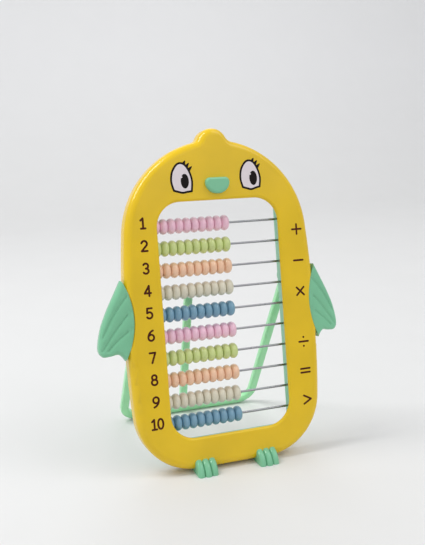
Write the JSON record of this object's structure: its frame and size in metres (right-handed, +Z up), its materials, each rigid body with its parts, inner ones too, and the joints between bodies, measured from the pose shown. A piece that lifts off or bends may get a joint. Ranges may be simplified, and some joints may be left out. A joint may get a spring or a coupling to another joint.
{
  "type": "toy abacus",
  "caption": "Free-standing children's counting frame shaped like a chick: coloured disc beads on steel wires in a rounded panel window, with a folding rear stand.",
  "frame": {"origin": "centre of the footprint, on the floor", "axes": "+Z up, +Y towards the rear stand, +X to the right when the beads are faced"},
  "size_m": [0.1648, 0.1081, 0.2151],
  "materials": {
    "shell_yellow": "satin moulded",
    "mint_plastic": "satin moulded",
    "bead_pink": "satin moulded",
    "bead_green": "satin moulded",
    "bead_peach": "satin moulded",
    "bead_beige": "satin moulded",
    "bead_blue": "satin moulded",
    "steel": "drawn wire"
  },
  "bodies": {
    "frame": {"front_shell": "shell_yellow", "rear_cover": "mint_plastic", "beak": "mint_plastic", "left_wing": "mint_plastic", "right_wing": "mint_plastic", "left_foot": "mint_plastic", "right_foot": "mint_plastic", "stand_pin_left": "steel", "stand_pin_right": "steel", "cover_screws": "steel", "wire_01": "steel", "wire_02": "steel", "wire_03": "steel", "wire_04": "steel", "wire_05": "steel", "wire_06": "steel", "wire_07": "steel", "wire_08": "steel", "wire_09": "steel", "wire_10": "steel"},
    "stand": {"stand": "mint_plastic"},
    "row_01_waiting": {"row_01_beads_waiting": "bead_pink"},
    "row_01_counted": {"row_01_beads_counted": "bead_pink"},
    "row_02_waiting": {"row_02_beads_waiting": "bead_green"},
    "row_02_counted": {"row_02_beads_counted": "bead_green"},
    "row_03_waiting": {"row_03_beads_waiting": "bead_peach"},
    "row_03_counted": {"row_03_beads_counted": "bead_peach"},
    "row_04_waiting": {"row_04_beads_waiting": "bead_beige"},
    "row_04_counted": {"row_04_beads_counted": "bead_beige"},
    "row_05_waiting": {"row_05_beads_waiting": "bead_blue"},
    "row_05_counted": {"row_05_beads_counted": "bead_blue"},
    "row_06_waiting": {"row_06_beads_waiting": "bead_pink"},
    "row_06_counted": {"row_06_beads_counted": "bead_pink"},
    "row_07_waiting": {"row_07_beads_waiting": "bead_green"},
    "row_07_counted": {"row_07_beads_counted": "bead_green"},
    "row_08_waiting": {"row_08_beads_waiting": "bead_peach"},
    "row_08_counted": {"row_08_beads_counted": "bead_peach"},
    "row_09_waiting": {"row_09_beads_waiting": "bead_beige"},
    "row_09_counted": {"row_09_beads_counted": "bead_beige"},
    "row_10_counted": {"row_10_beads_counted": "bead_blue"}
  },
  "joints": [
    {"name": "stand_fold", "type": "hinge", "parent": "frame", "child": "stand", "pos_m": [0, -0.00885, 0.11582], "axis": [-1, 0, 0], "range_deg": [0, 39]},
    {"name": "row_01_waiting_slide", "type": "slide", "parent": "frame", "child": "row_01_waiting", "axis": [1, 0, 0], "range_m": [0, 0.00885]},
    {"name": "row_01_counted_slide", "type": "slide", "parent": "row_01_waiting", "child": "row_01_counted", "axis": [1, 0, 0], "range_m": [0, 0.02655]},
    {"name": "row_02_waiting_slide", "type": "slide", "parent": "frame", "child": "row_02_waiting", "axis": [1, 0, 0], "range_m": [0, 0.00885]},
    {"name": "row_02_counted_slide", "type": "slide", "parent": "row_02_waiting", "child": "row_02_counted", "axis": [1, 0, 0], "range_m": [0, 0.02655]},
    {"name": "row_03_waiting_slide", "type": "slide", "parent": "frame", "child": "row_03_waiting", "axis": [1, 0, 0], "range_m": [0, 0.00885]},
    {"name": "row_03_counted_slide", "type": "slide", "parent": "row_03_waiting", "child": "row_03_counted", "axis": [1, 0, 0], "range_m": [0, 0.02655]},
    {"name": "row_04_waiting_slide", "type": "slide", "parent": "frame", "child": "row_04_waiting", "axis": [1, 0, 0], "range_m": [0, 0.00885]},
    {"name": "row_04_counted_slide", "type": "slide", "parent": "row_04_waiting", "child": "row_04_counted", "axis": [1, 0, 0], "range_m": [0, 0.02655]},
    {"name": "row_05_waiting_slide", "type": "slide", "parent": "frame", "child": "row_05_waiting", "axis": [1, 0, 0], "range_m": [0, 0.00885]},
    {"name": "row_05_counted_slide", "type": "slide", "parent": "row_05_waiting", "child": "row_05_counted", "axis": [1, 0, 0], "range_m": [0, 0.02655]},
    {"name": "row_06_waiting_slide", "type": "slide", "parent": "frame", "child": "row_06_waiting", "axis": [1, 0, 0], "range_m": [0, 0.00885]},
    {"name": "row_06_counted_slide", "type": "slide", "parent": "row_06_waiting", "child": "row_06_counted", "axis": [1, 0, 0], "range_m": [0, 0.02655]},
    {"name": "row_07_waiting_slide", "type": "slide", "parent": "frame", "child": "row_07_waiting", "axis": [1, 0, 0], "range_m": [0, 0.00885]},
    {"name": "row_07_counted_slide", "type": "slide", "parent": "row_07_waiting", "child": "row_07_counted", "axis": [1, 0, 0], "range_m": [0, 0.02655]},
    {"name": "row_08_waiting_slide", "type": "slide", "parent": "frame", "child": "row_08_waiting", "axis": [1, 0, 0], "range_m": [0, 0.00885]},
    {"name": "row_08_counted_slide", "type": "slide", "parent": "row_08_waiting", "child": "row_08_counted", "axis": [1, 0, 0], "range_m": [0, 0.02655]},
    {"name": "row_09_waiting_slide", "type": "slide", "parent": "frame", "child": "row_09_waiting", "axis": [1, 0, 0], "range_m": [0, 0.00885]},
    {"name": "row_09_counted_slide", "type": "slide", "parent": "row_09_waiting", "child": "row_09_counted", "axis": [1, 0, 0], "range_m": [0, 0.02655]},
    {"name": "row_10_counted_slide", "type": "slide", "parent": "frame", "child": "row_10_counted", "axis": [1, 0, 0], "range_m": [0, 0.0354]}
  ]
}
